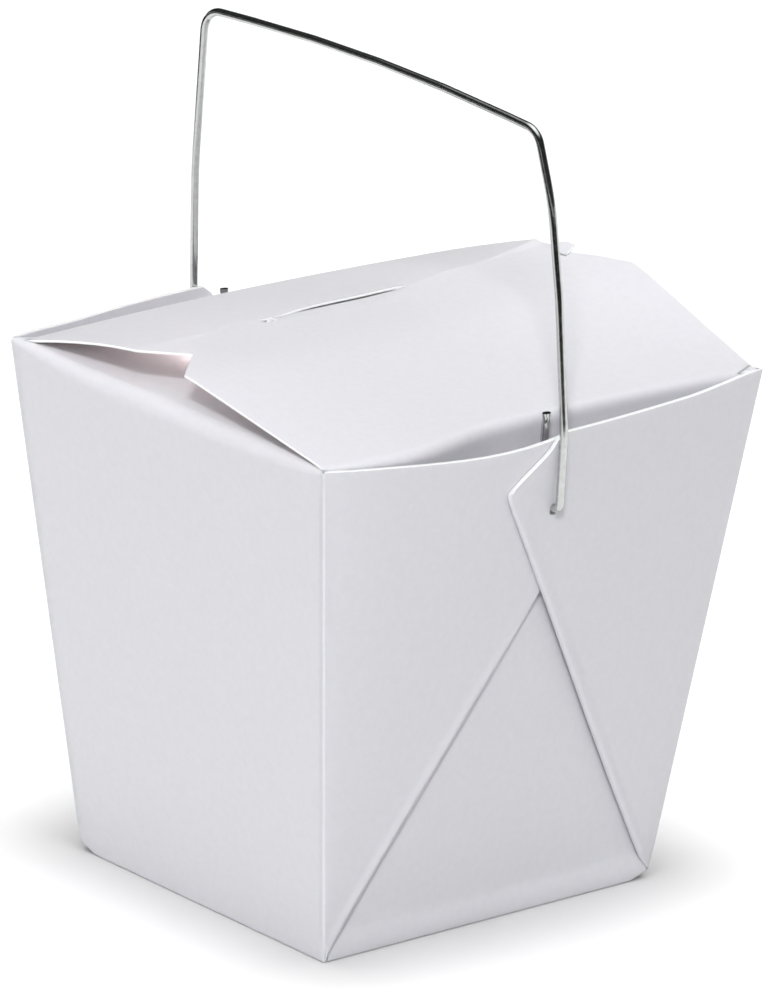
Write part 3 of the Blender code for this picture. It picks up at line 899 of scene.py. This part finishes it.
def make_backdrop():
    bm = bmesh.new()
    bmesh.ops.create_cone(
        bm, segments=64, radius1=BACKDROP_RADIUS, radius2=BACKDROP_RADIUS, depth=BACKDROP_HEIGHT,
    )
    obj = add_stage("backdrop", bm, plain_matt("pale_backdrop", BACKDROP_TONE, 1.0))
    obj.visible_diffuse = False
    obj.visible_glossy = False
    obj.visible_transmission = False
    obj.visible_shadow = False


floor = make_floor()
under_floor = make_under_floor()
make_backdrop()


# ------------------------------------------------------------------------------------------------
# Light and camera. A broad overhead light and two from the front left for the board, the table's
# own light, and two weak lamps in the box for the light that comes through its thin board. The
# wire shows only what it mirrors: the table, a black card on it and a dark room, bright overhead.
# ------------------------------------------------------------------------------------------------
SUNS = {                             # strength, spread in degrees, where from
    "overhead": (2.22, 136, (0.0, 0.001, 1.0)),
    "key": (2.09, 10, (0.55, -0.55, 0.63)),
    "side": (0.43, 40, (0.1, -1.0, 0.25)),
    "table": (1.60, 18, (0.02, -0.02, 1.0)),
    "table_wide": (2.40, 110, (0.02, -0.02, 1.0)),
}
ROOM_DARK, ROOM_BRIGHT = 0.03, 1.80
BRIGHT_FROM, BRIGHT_FULL = 0.66, 0.95   # how high up the ceiling gets bright, 1 being overhead


def dark_room():
    """What polished metal reflects: dark all round, bright only high overhead."""
    world = bpy.data.worlds.new("dark_room")
    bpy.context.scene.world = world
    world.use_nodes = True
    nodes, links = world.node_tree.nodes, world.node_tree.links
    direction = nodes.new("ShaderNodeTexCoord")
    parts = nodes.new("ShaderNodeSeparateXYZ")
    links.new(direction.outputs["Generated"], parts.inputs["Vector"])
    rise = nodes.new("ShaderNodeMapRange")
    rise.interpolation_type = "SMOOTHSTEP"
    rise.inputs["From Min"].default_value = BRIGHT_FROM
    rise.inputs["From Max"].default_value = BRIGHT_FULL
    rise.inputs["To Min"].default_value = ROOM_DARK
    rise.inputs["To Max"].default_value = ROOM_BRIGHT
    links.new(parts.outputs["Z"], rise.inputs["Value"])
    path = nodes.new("ShaderNodeLightPath")
    seen = nodes.new("ShaderNodeMath")
    seen.operation = "MULTIPLY"
    links.new(rise.outputs["Result"], seen.inputs[0])
    links.new(path.outputs["Is Glossy Ray"], seen.inputs[1])
    links.new(seen.outputs["Value"], nodes["Background"].inputs["Strength"])
    nodes["Background"].inputs["Color"].default_value = (0.96, 0.97, 1.0, 1)


def add_light(name, data, link_state, receivers):
    """Adds a light that falls on these objects alone, or on all but these."""
    obj = bpy.data.objects.new(name, data)
    bpy.context.scene.collection.objects.link(obj)
    lit = bpy.data.collections.new(name + "_lights")
    for receiver in receivers:
        lit.objects.link(receiver)
    obj.light_linking.receiver_collection = lit
    for linked in lit.collection_objects:
        linked.light_linking.link_state = link_state
    return obj


def add_suns():
    for name, (strength, spread_angle, source) in SUNS.items():
        data = bpy.data.lights.new(name, "SUN")
        data.energy = strength
        data.angle = math.radians(spread_angle)
        if name.startswith("table"):
            obj = add_light(name, data, "INCLUDE", (floor, under_floor))
        else:
            obj = add_light(name, data, "EXCLUDE", (floor, under_floor, bail))
        obj.rotation_euler = Vector(source).to_track_quat("Z", "Y").to_euler()


LAMP_LENGTH, LAMP_WIDTH, LAMP_POWER = 0.054, 0.003, 0.0024
LAMP_PLACE = Vector((-0.014, 0.024, 0.0004))   # off the middle, and above the lid scores
LAMP_COLOUR = (1.0, 0.86, 0.845)
LAMP_SIDEWAYS, LAMP_UP = 0.8, 0.6    # its back is turned inwards and up


def add_lamps_inside():
    for turn in (-1, 1):
        data = bpy.data.lights.new("inside", "AREA")
        data.shape = "RECTANGLE"
        data.size, data.size_y = LAMP_LENGTH, LAMP_WIDTH
        data.energy = LAMP_POWER
        data.color = LAMP_COLOUR
        obj = add_light("inside", data, "INCLUDE", (carton,))
        obj.location = (LAMP_PLACE.x, turn * LAMP_PLACE.y, HEIGHT + LAMP_PLACE.z)
        away = Vector((0, -turn * LAMP_SIDEWAYS, LAMP_UP))
        obj.rotation_euler = away.to_track_quat("Z", "Y").to_euler()
        obj.visible_camera = False
        obj.visible_glossy = False


CARD_NEAR, CARD_SIDE, CARD_BACK, CARD_REACH = 0.30, 0.38, -1.5, 2.5
CARD_RAISED, CARD_TURN = 0.002, math.radians(49 - 180)
CARD_TONE = (0.01, 0.01, 0.01)


def black_card():
    """Lies on the table in front of the box and, as an L, along its left side."""
    bm = bmesh.new()
    outline = (
        (-CARD_REACH, CARD_NEAR), (CARD_SIDE, CARD_NEAR), (CARD_SIDE, CARD_BACK),
        (CARD_REACH, CARD_BACK), (CARD_REACH, CARD_REACH), (-CARD_REACH, CARD_REACH),
    )
    bm.faces.new([bm.verts.new((x, y, 0.0)) for x, y in outline])
    obj = add_stage("black_card", bm, plain_matt("black_card", CARD_TONE, 0.0))
    obj.rotation_euler.z = CARD_TURN
    obj.location.z = CARD_RAISED
    obj.visible_camera = False
    obj.visible_diffuse = False
    obj.visible_shadow = False


dark_room()
add_suns()
add_lamps_inside()
black_card()
bpy.context.scene.view_settings.view_transform = "Standard"

CAMERA_TURN, CAMERA_RISE, CAMERA_ROLL = (math.radians(a) for a in (48.91, 18.607, 2.581))
CAMERA_AIM, CAMERA_REACH = Vector((0.00091, 0.00102, 0.07336)), 1.906
LENS, SENSOR, FARTHEST_SEEN = 362.7, 36, 30


def make_camera():
    back = Vector((
        math.sin(CAMERA_TURN) * math.cos(CAMERA_RISE),
        -math.cos(CAMERA_TURN) * math.cos(CAMERA_RISE),
        math.sin(CAMERA_RISE),
    ))
    right = Vector((0, 0, 1)).cross(back).normalized()
    up = back.cross(right)
    level = Matrix((right, up, back)).transposed()
    data = bpy.data.cameras.new("camera")
    data.sensor_width = SENSOR
    data.lens = LENS
    data.clip_end = FARTHEST_SEEN
    obj = bpy.data.objects.new("camera", data)
    obj.matrix_world = (
        Matrix.Translation(CAMERA_AIM + back * CAMERA_REACH)
        @ level.to_4x4() @ Matrix.Rotation(CAMERA_ROLL, 4, "Z")
    )
    bpy.context.scene.collection.objects.link(obj)
    bpy.context.scene.camera = obj


make_camera()
